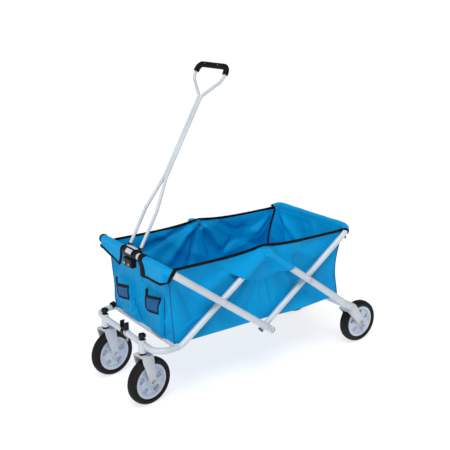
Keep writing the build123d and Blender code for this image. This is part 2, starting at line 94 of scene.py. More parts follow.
def fold(p, q, start, end, width, height):
    """A ridge from start to end over the p, q plane, narrow at its start, that fades out at both ends."""
    a, b = np.array(start, float), np.array(end, float)
    d = b - a
    length = np.hypot(*d)
    along = ((p - a[0]) * d[0] + (q - a[1]) * d[1]) / length ** 2
    off = ((p - a[0]) * -d[1] + (q - a[1]) * d[0]) / length
    grow = 0.35 + 0.65 * np.clip(along, 0, 1)
    shape = np.exp(-(off / (width * grow)) ** 2)
    return height * shape * smooth(along / 0.12) * smooth((1 - along) / 0.3)


def crease(p, q, seed, size):
    """Sharp-edged crumpling of about 0..1 over p, q, with facets of about the given size."""
    a = np.abs(waves(p / size, q / size, seed, 6, 0.35, 0.8))
    b = np.abs(waves(p / size, q / size, seed + 1, 6, 0.5, 1.1))
    return 1.0 - np.minimum(a + 0.5 * b, 1.4) / 1.4


# Materials

def material(name, color, rough=0.5, metallic=0.0, spec=0.5, coat=0.0):
    """A new material and its shader, with even values to start from."""
    m = bpy.data.materials.new(name)
    m.use_nodes = True
    shader = m.node_tree.nodes["Principled BSDF"]
    shader.inputs["Base Color"].default_value = (*color, 1)
    shader.inputs["Roughness"].default_value = rough
    shader.inputs["Metallic"].default_value = metallic
    shader.inputs["Specular IOR Level"].default_value = spec
    shader.inputs["Coat Weight"].default_value = coat
    return m, shader


class Graph:
    """Short names for building one material's nodes."""

    def __init__(self, m, shader):
        self.tree, self.shader = m.node_tree, shader
        self.coord = self.node("ShaderNodeTexCoord").outputs["Object"]

    def node(self, kind, **props):
        n = self.tree.nodes.new(kind)
        for k, v in props.items():
            setattr(n, k, v)
        return n

    def put(self, socket, value):
        if isinstance(value, bpy.types.NodeSocket):
            self.tree.links.new(value, socket)
        else:
            socket.default_value = value

    def noise(self, scale, detail=3.0, rough=0.5):
        n = self.node("ShaderNodeTexNoise")
        n.inputs["Scale"].default_value = scale
        n.inputs["Detail"].default_value = detail
        n.inputs["Roughness"].default_value = rough
        self.put(n.inputs["Vector"], self.coord)
        return n.outputs["Fac"]

    def wave(self, scale, direction):
        n = self.node("ShaderNodeTexWave", wave_type="BANDS", bands_direction=direction)
        n.inputs["Scale"].default_value = scale
        self.put(n.inputs["Vector"], self.coord)
        return n.outputs["Fac"]

    def math(self, op, a, b=0.0):
        n = self.node("ShaderNodeMath", operation=op)
        self.put(n.inputs[0], a)
        self.put(n.inputs[1], b)
        return n.outputs[0]

    def ramp(self, fac, stops):
        n = self.node("ShaderNodeValToRGB")
        while len(n.color_ramp.elements) < len(stops):
            n.color_ramp.elements.new(0.5)
        for e, (at, color) in zip(n.color_ramp.elements, stops):
            e.position, e.color = at, (*color, 1)
        self.put(n.inputs[0], fac)
        return n.outputs[0]

    def span(self, fac, low, high):
        n = self.node("ShaderNodeMapRange")
        n.inputs["To Min"].default_value = low
        n.inputs["To Max"].default_value = high
        self.put(n.inputs["Value"], fac)
        return n.outputs[0]

    def bump(self, height, strength, distance):
        n = self.node("ShaderNodeBump")
        n.inputs["Strength"].default_value = strength
        n.inputs["Distance"].default_value = distance
        self.put(n.inputs["Height"], height)
        self.put(self.shader.inputs["Normal"], n.outputs[0])

    def color(self, value):
        self.put(self.shader.inputs["Base Color"], value)

    def rough(self, value):
        self.put(self.shader.inputs["Roughness"], value)


def speckled(name, dark, light, rough, grain, bump, metallic=0.0, spec=0.5, coat=0.0):
    """A surface with slow colour change, fine grain and uneven gloss."""
    m, shader = material(name, light, metallic=metallic, spec=spec, coat=coat)
    g = Graph(m, shader)
    g.color(g.ramp(g.noise(9, 4), [(0.35, dark), (0.65, light)]))
    g.rough(g.span(g.noise(24, 4), rough[0], rough[1]))
    g.bump(g.noise(grain, 2), bump, 0.0004)
    return m


def cloth(name, dark, light, rough, weave, bump, spec=0.4):
    """Woven cloth: crossed threads, small wrinkles and soft wear."""
    m, shader = material(name, light, spec=spec)
    g = Graph(m, shader)
    slow = g.math("MULTIPLY", g.noise(6, 5, 0.6), 0.8)
    fine = g.math("MULTIPLY", g.noise(140, 3), 0.25)
    g.color(g.ramp(g.math("ADD", slow, fine), [(0.3, dark), (0.72, light)]))
    g.rough(g.span(g.noise(16, 4), rough[0], rough[1]))
    threads = g.math("ADD", g.math("ADD", g.wave(weave, "X"), g.wave(weave, "Z")), g.wave(weave, "Y"))
    wrinkles = g.math("MULTIPLY", g.noise(35, 5), 1.2)
    g.bump(g.math("ADD", g.math("MULTIPLY", threads, 0.5), wrinkles), bump, 0.0009)
    return m


SOOT = (0.002, 0.002, 0.003)
WHITE = speckled("frame_paint", (0.52, 0.57, 0.62), (0.59, 0.64, 0.69), (0.25, 0.40), 700, 0.08, coat=0.15)
FORK = speckled("fork_paint", (0.50, 0.53, 0.57), (0.62, 0.65, 0.69), (0.3, 0.5), 600, 0.12, coat=0.1)
ZINC = speckled("zinc", (0.42, 0.43, 0.45), (0.66, 0.67, 0.69), (0.25, 0.5), 900, 0.1, metallic=1.0)
BLACK = speckled("black_plastic", SOOT, (0.007, 0.007, 0.009), (0.35, 0.6), 1200, 0.25, spec=0.25)
HUB = speckled("hub_plastic", (0.46, 0.52, 0.62), (0.58, 0.64, 0.73), (0.35, 0.55), 500, 0.08)
FOAM = speckled("grip_foam", SOOT, (0.006, 0.006, 0.008), (0.6, 0.8), 1500, 0.5, spec=0.12)
RUBBER = speckled("tyre_rubber", SOOT, (0.008, 0.008, 0.010), (0.5, 0.75), 300, 0.3, spec=0.2)
AZURE = cloth("azure_cloth", (0.0, 0.285, 0.63), (0.0, 0.345, 0.74), (0.34, 0.50), 320, 0.35, spec=0.08)
# Dark navy cloth: seam thread on the tub's outer corners, and a painted shadow line down each pocket's gusset
NAVY_SEAM_AND_SHADOW = cloth("seam_thread_and_painted_shadow", (0.0, 0.06, 0.20), (0.0, 0.10, 0.30), (0.5, 0.7), 900, 0.4)
TAPE = cloth("black_tape", SOOT, (0.007, 0.007, 0.009), (0.6, 0.8), 520, 0.7, spec=0.15)


def mesh_cloth():
    """Blue netting: pale threads round small dark holes."""
    m, shader = material("blue_mesh", (0.01, 0.12, 0.34), rough=0.6, spec=0.15)
    g = Graph(m, shader)
    n = g.node("ShaderNodeTexVoronoi", feature="DISTANCE_TO_EDGE")
    n.inputs["Scale"].default_value = 420
    g.put(n.inputs["Vector"], g.coord)
    g.color(g.ramp(n.outputs["Distance"], [(0.05, (0.01, 0.13, 0.36)), (0.35, (0.002, 0.03, 0.12))]))
    g.rough(g.span(g.noise(60), 0.5, 0.75))
    g.bump(n.outputs["Distance"], 0.8, 0.0008)
    return m


MESH = mesh_cloth()
BY_SLOT = {"frame_white": WHITE, "fork_paint": FORK, "zinc": ZINC, "black_plastic": BLACK, "grip_foam": FOAM,
           "hub_plastic": HUB, "tyre": RUBBER, "tub_fabric": AZURE, "mesh": MESH}
for part in frame["record"]["subparts"]:
    node = NODES[part["node"]]
    node.data.materials.clear()
    node.data.materials.append(BY_SLOT[part["material_slot"]])


# Making meshes

def make(name, verts, faces, mat):
    """A smooth-shaded piece of the visual model."""
    data = bpy.data.meshes.new(name)
    data.from_pydata([tuple(v) for v in verts], [], faces)
    data.materials.append(mat)
    data.shade_smooth()
    data.update()
    obj = bpy.data.objects.new(name, data)
    scene.collection.objects.link(obj)
    return obj


def shell(name, grid, thick, mat):
    """A thin closed sheet from a grid of points, rows by columns."""
    rows, cols = grid.shape[:2]
    du, dv = np.gradient(grid, axis=1), np.gradient(grid, axis=0)
    normal = np.cross(du, dv)
    normal /= np.maximum(np.linalg.norm(normal, axis=2, keepdims=True), 1e-12)
    front, back = grid + normal * thick / 2, grid - normal * thick / 2
    verts = np.concatenate([front.reshape(-1, 3), back.reshape(-1, 3)])
    n = rows * cols

    def at(i, j):
        return i * cols + j

    faces = []
    for i in range(rows - 1):
        for j in range(cols - 1):
            a, b, c, d = at(i, j), at(i, j + 1), at(i + 1, j + 1), at(i + 1, j)
            faces += [(a, b, c, d), (n + d, n + c, n + b, n + a)]
    rim = [at(0, j) for j in range(cols)] + [at(i, cols - 1) for i in range(1, rows)]
    rim += [at(rows - 1, j) for j in range(cols - 2, -1, -1)] + [at(i, 0) for i in range(rows - 2, 0, -1)]
    for a, b in zip(rim, rim[1:] + rim[:1]):
        faces.append((b, a, n + a, n + b))
    return make(name, verts, faces, mat)


def along_path(points):
    """Tangent at each point of an open path."""
    t = np.gradient(np.array(points, float), axis=0)
    return t / np.maximum(np.linalg.norm(t, axis=1, keepdims=True), 1e-12)


def strip(name, points, wide_dir, wide, thick, mat=TAPE, closed=False):
    """A flat band of tape along points, or round them if closed: wide along wide_dir, thick the other way."""
    sides, squareness = 10, 0.6
    points = np.array(points, float)
    t = along_path(points)
    if closed:
        t = np.roll(points, -1, 0) - np.roll(points, 1, 0)
        t /= np.linalg.norm(t, axis=1, keepdims=True)
    w = np.broadcast_to(np.array(wide_dir, float), points.shape).copy()
    w -= t * np.sum(w * t, axis=1, keepdims=True)
    w /= np.maximum(np.linalg.norm(w, axis=1, keepdims=True), 1e-12)
    b = np.cross(t, w)
    verts, faces = [], []
    for k in range(sides):
        angle = math.tau * k / sides
        c, s = math.cos(angle), math.sin(angle)
        c, s = math.copysign(abs(c) ** squareness, c), math.copysign(abs(s) ** squareness, s)
        verts.append(points + w * c * wide / 2 + b * s * thick / 2)
    verts = np.stack(verts, axis=1)
    count = len(points)
    last = count if closed else count - 1
    for i in range(last):
        for k in range(sides):
            j, m = (i + 1) % count, (k + 1) % sides
            faces.append((i * sides + k, i * sides + m, j * sides + m, j * sides + k))
    if not closed:
        faces.append(tuple(range(sides)))
        faces.append(tuple((count - 1) * sides + k for k in reversed(range(sides))))
    return make(name, verts.reshape(-1, 3), faces, mat)


def spline(points, count):
    """count points evenly along a smooth curve through points."""
    p = np.array(points, float)
    p = np.concatenate([[2 * p[0] - p[1]], p, [2 * p[-1] - p[-2]]])
    fine = []
    for i in range(1, len(p) - 2):
        for t in np.linspace(0, 1, 24, endpoint=False):
            a, b, c, d = p[i - 1], p[i], p[i + 1], p[i + 2]
            fine.append(0.5 * (2 * b + (c - a) * t + (2 * a - 5 * b + 4 * c - d) * t ** 2
                               + (3 * b - a - 3 * c + d) * t ** 3))
    fine = np.array(fine + [p[-2]])
    steps = np.concatenate([[0], np.cumsum(np.linalg.norm(np.diff(fine, axis=0), axis=1))])
    want = np.linspace(0, steps[-1], count)
    return np.stack([np.interp(want, steps, fine[:, k]) for k in range(3)], axis=1)


# The tub's outline

def side_top(x):
    """Height of a side wall's top edge, x from the scissor's middle."""
    dip = DIP_Z + 0.0035 * (np.abs(x) / 0.43) ** 2
    return dip + (PEAK_Z - DIP_Z) * np.exp(-(np.abs(x) / 0.105) ** 1.2)


def wall_x(v, front=1):
    """Half length of the tub at height share v; the rear end is pulled in at half height."""
    v = np.clip(v, 0, 1)
    pull = 0.0 if front > 0 else REAR_PULL
    return WALL_LOW_X + WALL_SPREAD * v - pull * np.sin(math.pi * v) ** 1.3


def corner_shift(z, front, side):
    """How far a front corner of the tub wanders sideways down its height."""
    if front < 0:
        return 0.0 * z
    wander = -0.004 * np.exp(-((z - 0.37) / 0.045) ** 2) + 0.005 * np.exp(-((z - 0.30) / 0.03) ** 2)
    return wander * (1.0 if side < 0 else 0.25)


# For the near wall (1) and the far wall (-1): the creases as start, end, width and height over x and z, how
# much they are deepened, and how deep the cloth is crumpled between them; x is from the scissor's middle
FOLDS = {
    1: (((-0.02, 0.555), (-0.20, 0.33), 0.024, 0.005), ((0.01, 0.555), (0.17, 0.28), 0.020, -0.006),
        ((0.00, 0.540), (0.03, 0.30), 0.012, 0.004), ((-0.01, 0.540), (-0.06, 0.29), 0.014, -0.004),
        ((0.03, 0.555), (0.33, 0.40), 0.028, 0.005), ((-0.05, 0.555), (-0.36, 0.44), 0.026, 0.0045),
        ((0.40, 0.300), (0.22, 0.36), 0.016, 0.004), ((-0.41, 0.280), (-0.24, 0.36), 0.018, 0.004),
        ((-0.43, 0.530), (-0.30, 0.40), 0.020, -0.004), ((0.43, 0.53), (0.33, 0.36), 0.018, -0.004)),
    -1: (((0.02, 0.560), (0.22, 0.36), 0.030, -0.007), ((0.04, 0.555), (0.36, 0.45), 0.026, 0.006),
         ((0.00, 0.560), (0.08, 0.30), 0.022, 0.006), ((-0.01, 0.560), (-0.12, 0.40), 0.022, -0.009),
         ((-0.12, 0.40), (-0.28, 0.50), 0.026, 0.007), ((-0.02, 0.555), (-0.06, 0.33), 0.018, 0.006),
         ((-0.10, 0.550), (-0.34, 0.36), 0.030, 0.005), ((-0.42, 0.530), (-0.27, 0.44), 0.020, -0.006),
         ((0.41, 0.500), (0.26, 0.42), 0.022, -0.005), ((-0.40, 0.300), (-0.20, 0.34), 0.022, 0.005)),
}
FOLD_GAIN = {1: 1.6, -1: 2.2}
CRUMPLE = {1: 0.0110, -1: 0.0170}
WALL_SEED = {1: 11, -1: 23}
FLOOR_FOLDS = (((-0.02, 0.262), (-0.20, 0.35), 0.018, 0.004), ((0.02, 0.262), (0.19, 0.36), 0.018, 0.004))
OUT_MOST = 0.0035          # how far a side wall may stand out, so that it clears the links
BUTTON_SINK = 0.0075       # how far the pivot's button holds it in


def side_bulge(x, z, side):
    """How far a side wall stands out at x, z, in metres; it stays flat at the pivot's button."""
    v = (z - FLOOR_Z) / (TOP_Z - FLOOR_Z)
    edge = smooth((0.425 - np.abs(x)) / 0.10) * smooth(v / 0.25) * smooth((1.02 - v) / 0.12)
    seed = WALL_SEED[side]
    out = -0.004 * edge
    out = out + 0.0026 * edge * waves(x / 0.5, z / 0.5, seed, 8, 0.8, 2.6)
    out = out - edge * (CRUMPLE[side] * crease(x, z, seed + 3, 0.24) + 0.0025 * crease(x, z, seed + 5, 0.10))
    for row in FOLDS[side]:
        out = out + FOLD_GAIN[side] * fold(x, z, *row) * edge
    for row in FLOOR_FOLDS:
        out = out + fold(x, z, *row) * edge
    out = np.where(out > 0.0, OUT_MOST * np.tanh(out / OUT_MOST), out)
    button = smooth((0.026 - np.hypot(x, z - PIVOT_Z)) / 0.016)
    return out * (1 - button) - BUTTON_SINK * button


def side_y(x, z, side):
    """Distance of a side wall from the cart's middle plane."""
    pull = -0.004 * smooth((np.abs(x) - 0.40) / 0.035)
    return SIDE_Y + side_bulge(x, z, side) + pull + corner_shift(z, 1, side) * smooth((x - 0.28) / 0.14)


def side_wall(side):
    """A side wall, with its top tape, the tapes inside its corners and the seams outside them."""
    name = "near" if side > 0 else "far"
    u, v = np.meshgrid(np.linspace(-1, 1, 201), np.linspace(0, 1, 71))
    x = u * np.where(u > 0, wall_x(v), wall_x(v, -1))
    sag = 0.0035 + 0.0085 * (u < 0) * np.sin(u * math.pi) ** 2
    z = FLOOR_Z + (side_top(x) - FLOOR_Z) * v - (1 - v) ** 3 * sag * np.cos(u * math.pi / 2) ** 0.5
    y = side_y(x, z, side)
    wall = shell("side_wall_" + name, np.stack([x + MX, side * y, z], axis=2), 0.0016, AZURE)
    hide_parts("side_panel_" + name)
    xs = np.linspace(-0.434, 0.434, 121)
    zs = side_top(xs) - 0.002
    ys = side_y(xs, zs, side)
    tape = strip("top_tape_" + name, np.stack([xs + MX, side * ys, zs], axis=1), (0, 0, 1), 0.0125, 0.0040)
    v = np.linspace(0.0, 0.97, 40)
    seams = []
    for front in (1, -1):
        xv = front * wall_x(v, front)
        zv = FLOOR_Z + (side_top(xv) - FLOOR_Z) * v
        yv = side_y(xv, zv, side)
        end = "front" if front > 0 else "rear"
        inner = np.stack([xv - front * 0.0035 + MX, side * (yv - 0.0035), zv], axis=1)
        seams.append(strip("corner_tape_%s_%s" % (end, name), inner, (1, -side * front, 0), 0.010, 0.0034))
        outer = np.stack([xv + front * 0.0012 + MX, side * (yv + 0.0012), zv], axis=1)
        seams.append(strip("corner_seam_%s_%s" % (end, name), outer, (1, side * front, 0), 0.0036, 0.0022,
                           NAVY_SEAM_AND_SHADOW))
    return wall, [tape] + seams


def link_top(x, z):
    """Outer face of what lies under the flap at x, z: the hub and the upper ends of the two links."""
    c, s = math.cos(SLOPE), math.sin(SLOPE)
    hold = np.zeros(x.shape)
    for sign, top, r in ((1, 0.2618, 0.0105), (-1, 0.2908, 0.0125)):    # the front link, then the rear one
        off = np.abs(x * s + sign * (z - PIVOT_Z) * c)
        along = sign * x * c - (z - PIVOT_Z) * s
        rise = 0.6 * np.maximum(off - 0.5 * r, 0) ** 2 / r
        hold = np.maximum(hold, np.where((off < r) & (along > -0.012), top - rise, 0))
    hub_radius, hub_top = 0.013, 0.2922
    return np.maximum(hold, np.where(np.hypot(x, z - PIVOT_Z) < hub_radius, hub_top, 0))


def flap_low(x):
    """Lower edge of the pivot flap; the two links come out of it at about x = +-0.115."""
    edge = ((-0.230, 0.520), (-0.185, 0.500), (-0.150, 0.486), (-0.132, 0.478), (-0.098, 0.459),
            (-0.085, 0.442), (-0.045, 0.418), (0.0, 0.410), (0.045, 0.418), (0.085, 0.440), (0.104, 0.454),
            (0.134, 0.471), (0.150, 0.478), (0.185, 0.496), (0.230, 0.520))
    return np.interp(x, *zip(*edge))


def pivot_flap(side):
    """A panel stretched from the wall's face over the links' upper ends, like a skin over tent poles.

    It settles to a membrane that stays outside the links, and its last rows turn inwards to the top tape."""
    name = "near" if side > 0 else "far"
    cols, rows, turn = 161, 56, 12
    half, tape_gap, most = 0.225, 0.0090, 0.2940
    u = np.linspace(-1, 1, cols)[None, :].repeat(rows, 0)
    t = np.linspace(0, 1, rows)[:, None].repeat(cols, 1)
    x = u * half
    low = flap_low(x)
    high = np.minimum(0.5540, side_top(x) - tape_gap)
    z = low + (high - low) * t
    wall = side_y(x, z, side)
    at_link = smooth((0.035 - np.abs(np.abs(x) - 0.125)) / 0.02)
    rim = smooth((1 - np.abs(u)) / 0.15) * np.maximum(smooth(t / 0.2), at_link)
    wall = wall - 0.0008 + 0.0034 * rim
    under = np.maximum(link_top(x, z), wall)
    y = under.copy()
    loose = 0.0030 + 0.080 * smooth(t ** 2)
    dx, dz = 2 * half / (cols - 1), (high - low) / (rows - 1)
    weight = (dx / dz) ** 2
    over_link = np.abs(np.abs(x[0]) - 0.128) < 0.040
    for _ in range(900):
        up, down = np.roll(y, -1, 0), np.roll(y, 1, 0)
        up[-1], down[0] = y[-2], y[1]
        pulls = np.roll(y, 1, 1) + np.roll(y, -1, 1) + weight * (up + down) + loose * wall
        new = np.maximum(pulls / (2 + 2 * weight + loose), under)
        new[:, 0], new[:, -1] = wall[:, 0], wall[:, -1]
        new[0] = np.where(over_link, new[0], wall[0])
        y = new
    lift = smooth((y - wall - 0.002) / 0.012)
    y = np.minimum(y + 0.0011 * lift * (0.4 + waves(x / 0.16, z / 0.16, 5 + side, 7, 0.8, 2.4)), most)
    grid = np.zeros((rows + turn, cols, 3))
    grid[:rows] = np.stack([x + MX, side * y, z], axis=2)
    edge = y[-1] - side_y(x[-1], z[-1], side) + 0.001
    crown = side_top(x[-1]) - tape_gap + 0.0025 * smooth(edge / 0.03)
    for i in range(turn):
        a = (i + 1) / turn * math.pi / 2
        across = y[-1] - edge * (1 - math.cos(a))
        grid[rows + i] = np.stack([x[-1] + MX, side * across, z[-1] + (crown - z[-1]) * math.sin(a)], axis=1)
    flap = shell("pivot_flap_cloth_" + name, grid, 0.0010, AZURE)
    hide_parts("pivot_flap_" + name)
    return flap


def end_wall(front):
    """An end wall between the side walls; the front one has the two pockets' fullness."""
    cols, rows = 141, 71
    w, v = np.meshgrid(np.linspace(-1, 1, cols), np.linspace(0, 1, rows))
    high = 0.5465 if front > 0 else 0.552
    z = FLOOR_Z + (high - FLOOR_Z) * v
    half = SIDE_Y - 0.0015 - 0.004 + np.where(w < 0, corner_shift(z, front, -1), corner_shift(z, front, 1))
    y = w * half
    x = end_x(z, front) + (front_relief(y, z) if front > 0 else rear_relief(y, z))
    if front > 0:
        sag = np.exp(-((y - 0.105) / 0.045) ** 4) + 0.7 * np.exp(-((y + 0.115) / 0.05) ** 4)
        lift = 0.003 * np.sin(y * 30 + 0.6) + 0.004 * smooth((-y - 0.17) / 0.05)
        z = z + (1 - v) ** 3 * (lift - 0.006 * sag)
    name = "front" if front > 0 else "rear"
    wall = shell(name + "_wall_cloth", np.stack([front * x + MX, y, z], axis=2), 0.0016, AZURE)
    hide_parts(name + "_panel")
    return wall


def end_x(z, front=1):
    """Distance of an end wall from the scissor's middle at height z."""
    return wall_x((z - FLOOR_Z) / (TOP_Z - FLOOR_Z), front)


# Corners of each pocket's window as (y, z): the two bottom ones, then the top ones from high y to low y
WINDOW = {1: ((0.053, 0.352), (0.164, 0.366), (0.166, 0.422), (0.065, 0.411)),
          -1: ((-0.178, 0.333), (-0.066, 0.350), (-0.066, 0.402), (-0.171, 0.390))}

# Edge of each pocket's gusset at high y: heights, then y at them
GUSSET = {1: ((0.250, 0.293, 0.431, 0.450), (0.156, 0.161, 0.177, 0.179)),
          -1: ((0.250, 0.299, 0.349, 0.450), (-0.026, -0.043, -0.062, -0.062))}


def pouch(y, z):
    """Fullness of the two pockets: soft on the low y side, with a sharp gusset on the other."""
    out = 0.0
    for side, ((low, _), _, _, _) in WINDOW.items():
        edge = np.interp(z, *GUSSET[side])
        across = smooth((y - low + 0.030) / 0.07) * smooth((edge + 0.001 - y) / 0.0045)
        down = smooth((0.445 - z) / 0.06) * smooth((z - 0.246) / 0.045)
        out = out + 0.021 * across * down
    return out


def free(y, z):
    """0 at an end wall's sewn edges and 1 inside."""
    across = smooth((SIDE_Y - 0.004 - np.abs(y)) / 0.03)
    return across * smooth((z - FLOOR_Z) / 0.02) * smooth((0.552 - z) / 0.03)


def at_window(y, z):
    """1 on the pockets' mesh windows, which stay smooth, and 0 away from them."""
    return sum(smooth((0.085 - np.abs(y - y0)) / 0.03) * smooth((0.058 - np.abs(z - z0)) / 0.025)
               for y0, z0 in ((0.112, 0.388), (-0.120, 0.370)))


# Creases of the end walls as start, end, width and height over y and z
FRONT_FOLDS = (((0.205, 0.54), (0.200, 0.29), 0.009, 0.011), ((0.188, 0.48), (0.206, 0.33), 0.008, -0.008),
               ((0.215, 0.40), (0.178, 0.27), 0.009, 0.009), ((-0.21, 0.50), (-0.20, 0.30), 0.012, 0.008),
               ((-0.03, 0.36), (-0.09, 0.27), 0.012, 0.006), ((0.01, 0.46), (0.00, 0.28), 0.02, 0.006))
REAR_FOLDS = (((-0.20, 0.54), (0.05, 0.40), 0.022, -0.007), ((0.20, 0.54), (-0.02, 0.36), 0.024, -0.007),
              ((-0.19, 0.30), (0.02, 0.44), 0.022, 0.006))


def front_relief(y, z):
    """How far the front wall stands out at y, z."""
    out = sum(fold(y, z, *row) for row in FRONT_FOLDS)
    out = 1.4 * out + 0.010 * crease(y, z, 33, 0.20) + 0.004 * crease(y, z, 35, 0.08) - 0.009
    return out * free(y, z) * (1 - 0.8 * at_window(y, z)) + pouch(y, z)


def rear_relief(y, z):
    """How far the rear wall stands out at y, z."""
    out = 0.006 - 0.010 * crease(y, z, 47, 0.22) - 0.003 * crease(y, z, 49, 0.10)
    for row in REAR_FOLDS:
        out = out + fold(y, z, *row)
    return out * free(y, z)


def front_x(y, z, proud=0.0):
    """x of the front wall's outer face at y, z."""
    return end_x(z) + front_relief(y, z) + proud + MX


def window(side):
    """One pocket's mesh window, the black tape round it and a painted shadow line down its gusset."""
    tag = "near" if side > 0 else "far"
    c = np.array(WINDOW[side])
    s, t = np.meshgrid(np.linspace(0, 1, 25), np.linspace(0, 1, 17))
    p = ((1 - s) * (1 - t))[..., None] * c[0] + (s * (1 - t))[..., None] * c[1]
    p = p + (s * t)[..., None] * c[2] + ((1 - s) * t)[..., None] * c[3]
    grid = np.stack([front_x(p[..., 0], p[..., 1], 0.0024), p[..., 0], p[..., 1]], axis=2)
    pane = shell("pocket_mesh_" + tag, grid, 0.0008, MESH)
    tip = c[3] + (-0.011, 0.017)
    lines = {"top": ((tip, c[3] + (0.004, -0.003), (c[3] + c[2]) / 2 + (0, -0.004), c[2]), 0.0130),
             "left": ((tip, c[3] + (-0.001, -0.010), c[0] + (0, -0.002)), 0.0170),
             "bottom": ((c[0], (c[0] + c[1]) / 2 + (0, -0.003), c[1]), 0.0085),
             "right": ((c[2], (c[1] + c[2]) / 2, c[1]), 0.0060)}
    tapes = []
    for where, (points, wide) in lines.items():
        p = spline([(0, *q) for q in points], 40)
        p[:, 0] = front_x(p[:, 1], p[:, 2], 0.0030)
        across = (0, 0, 1) if where in ("top", "bottom") else (0, 1, 0)
        tapes.append(strip("pocket_tape_%s_%s" % (where, tag), p, across, wide, 0.0034))
    # A dark navy strip along the gusset's edge: painted shadow where the pocket's side turns away
    z = np.linspace(0.268, 0.428 if side > 0 else 0.352, 40)
    y = np.interp(z, *GUSSET[side]) + 0.0028
    line = np.stack([front_x(y, z, 0.0012), y, z], axis=1)
    tapes.append(strip("pocket_gusset_shadow_" + tag, line, (0, 1, 0), 0.0046, 0.0030, NAVY_SEAM_AND_SHADOW))
    return pane, tapes


STRAIGHT = 60         # points of a sleeve's path along the rail's straight


def rail_path(front, y_rail, y_from, reach):
    """Points along a top rail from y_from into its corner bend, reach of the way round it."""
    bend = 0.042
    rail = RAIL if front > 0 else REAR_RAIL
    down = np.array([-front * math.cos(SLOPE), 0, -math.sin(SLOPE)])
    centre_y = y_rail - bend
    points = [np.array([rail.x, y, rail.z]) for y in np.linspace(y_from, centre_y, STRAIGHT)]
    for a in np.linspace(0, math.pi / 2 * reach, 16)[1:]:
        over = np.array([rail.x, centre_y + bend * math.sin(a), rail.z])
        points.append(over + down * bend * (1 - math.cos(a)))
    return np.array(points)


def sleeve(name, front, side, y_rail, radius, y_from, drops, slant, reach, corner=0.236):
    """The cloth from the end wall's top over one side of a top rail to an edge that hangs outside.

    drops are the hanging depths along it as (y, depth); slant moves the cut edge's lower end along y."""
    path = rail_path(front, y_rail, y_from, reach)
    t = along_path(path)
    t[:STRAIGHT] = (0, 1, 0)
    plumb = np.array([0, 0, -1.0])
    down = plumb - t * (t @ plumb)[:, None]
    down /= np.linalg.norm(down, axis=1, keepdims=True)
    out = np.cross(down, t)
    out[np.sum(out * np.array([front, 1.0, 0]), axis=1) < 0] *= -1
    n, wrap, hang_rows, skirt = len(path), 26, 16, 6
    bend = smooth((np.arange(n) - (STRAIGHT - 2)) / 8)
    angles = np.linspace(0.0, math.pi, wrap)[None, :] * (1 + 0.38 * bend[:, None])
    grid = np.zeros((n, skirt + wrap + hang_rows, 3))
    lump = 0.0009 * waves(path[:, 1:2] / 0.2, angles / 6, 71 + front, 6, 1, 3)
    foot_x, foot_y, foot_z = front * 0.4372 + MX, np.minimum(path[:, 1], 0.232), 0.534
    foot = np.stack([np.full(n, foot_x), foot_y, np.full(n, foot_z)], axis=1)
    for k in range(skirt):
        s = (skirt - k) / skirt * (1 - bend)[:, None]
        grid[:, k] = (path - out * radius) * (1 - s) + foot * s
    for k in range(wrap):
        r = (radius + np.maximum(lump[:, k], -0.0004))[:, None]
        a = angles[:, k:k + 1]
        grid[:, skirt + k] = path + (out * -np.cos(a) - down * np.sin(a)) * r
    ys, ds = zip(*drops)
    hang = np.interp(path[:, 1], ys, ds)
    flare = 0.003 * np.sin(path[:, 1] * 38) * (1 - bend)
    start = grid[:, skirt + wrap - 1].copy()
    low = np.stack([start[:, 0] + front * (0.002 + flare - 0.006 * bend), np.minimum(path[:, 1], corner),
                    np.full(n, path[0, 2]) - hang], axis=1)
    for k in range(hang_rows):
        s = (k + 1) / hang_rows
        grid[:, skirt + wrap + k] = start + (low - start) * s
        grid[:, skirt + wrap + k, 0] -= front * 0.003 * math.sin(s * math.pi)
        grid[:, skirt + wrap + k, 1] += slant * s ** 0.8 * smooth((y_from + 0.09 - path[:, 1]) / 0.09)
    grid[:, :, 1] *= side
    piece = shell(name, grid, 0.0016, AZURE)
    tape = strip(name + "_edge", grid[:, -1], (0, 0, 1), 0.0105, 0.0036)
    return piece, [tape], grid, t


def hung(pieces):
    """Bakes the placement of each piece of rail cloth into its mesh."""
    for p in pieces:
        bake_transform(p)


def front_sleeve(side):
    """The near sleeve reaches into the rail's bend and hangs evenly; the far one stops short and tapers."""
    if side > 0:
        tag, y_from, slant, cut, reach, corner = "near", 0.084, 0.020, 0.034, 0.62, 0.236
        drops = ((0.07, 0.060), (0.12, 0.055), (0.19, 0.052), (0.26, 0.050))
    else:
        tag, y_from, slant, cut, reach, corner = "far", 0.058, 0.010, 0.013, 0.08, 0.24
        drops = ((0.05, 0.058), (0.08, 0.057), (0.14, 0.046), (0.20, 0.028), (0.25, 0.022))
    piece, tapes, grid, t = sleeve("front_sleeve_" + tag, 1, side, 0.272, 0.0158, y_from, drops, slant,
                                   reach, corner)
    tapes.append(strip("front_sleeve_end_" + tag, grid[-1, 2:], t[-1] * (1, side, 1), 0.0140, 0.0066))
    tapes.append(strip("front_sleeve_cut_" + tag, grid[1, 2:], (0, 1, 0), cut, 0.0070))
    return piece, tapes


def rear_sleeve():
    """The sleeve over the whole rear rail, in two mirrored halves."""
    pieces, tapes = [], []
    for side in (1, -1):
        tag = "near" if side > 0 else "far"
        piece, more, grid, t = sleeve("rear_sleeve_" + tag, -1, side, 0.245, 0.0138, 0.0,
                                      ((0, 0.048), (0.2, 0.044)), 0.0, 0.7)
        more.append(strip("rear_sleeve_end_" + tag, grid[-1, 3:], t[-1] * (1, side, 1), 0.0110, 0.0038))
        pieces.append(piece)
        tapes += more
    return pieces, tapes


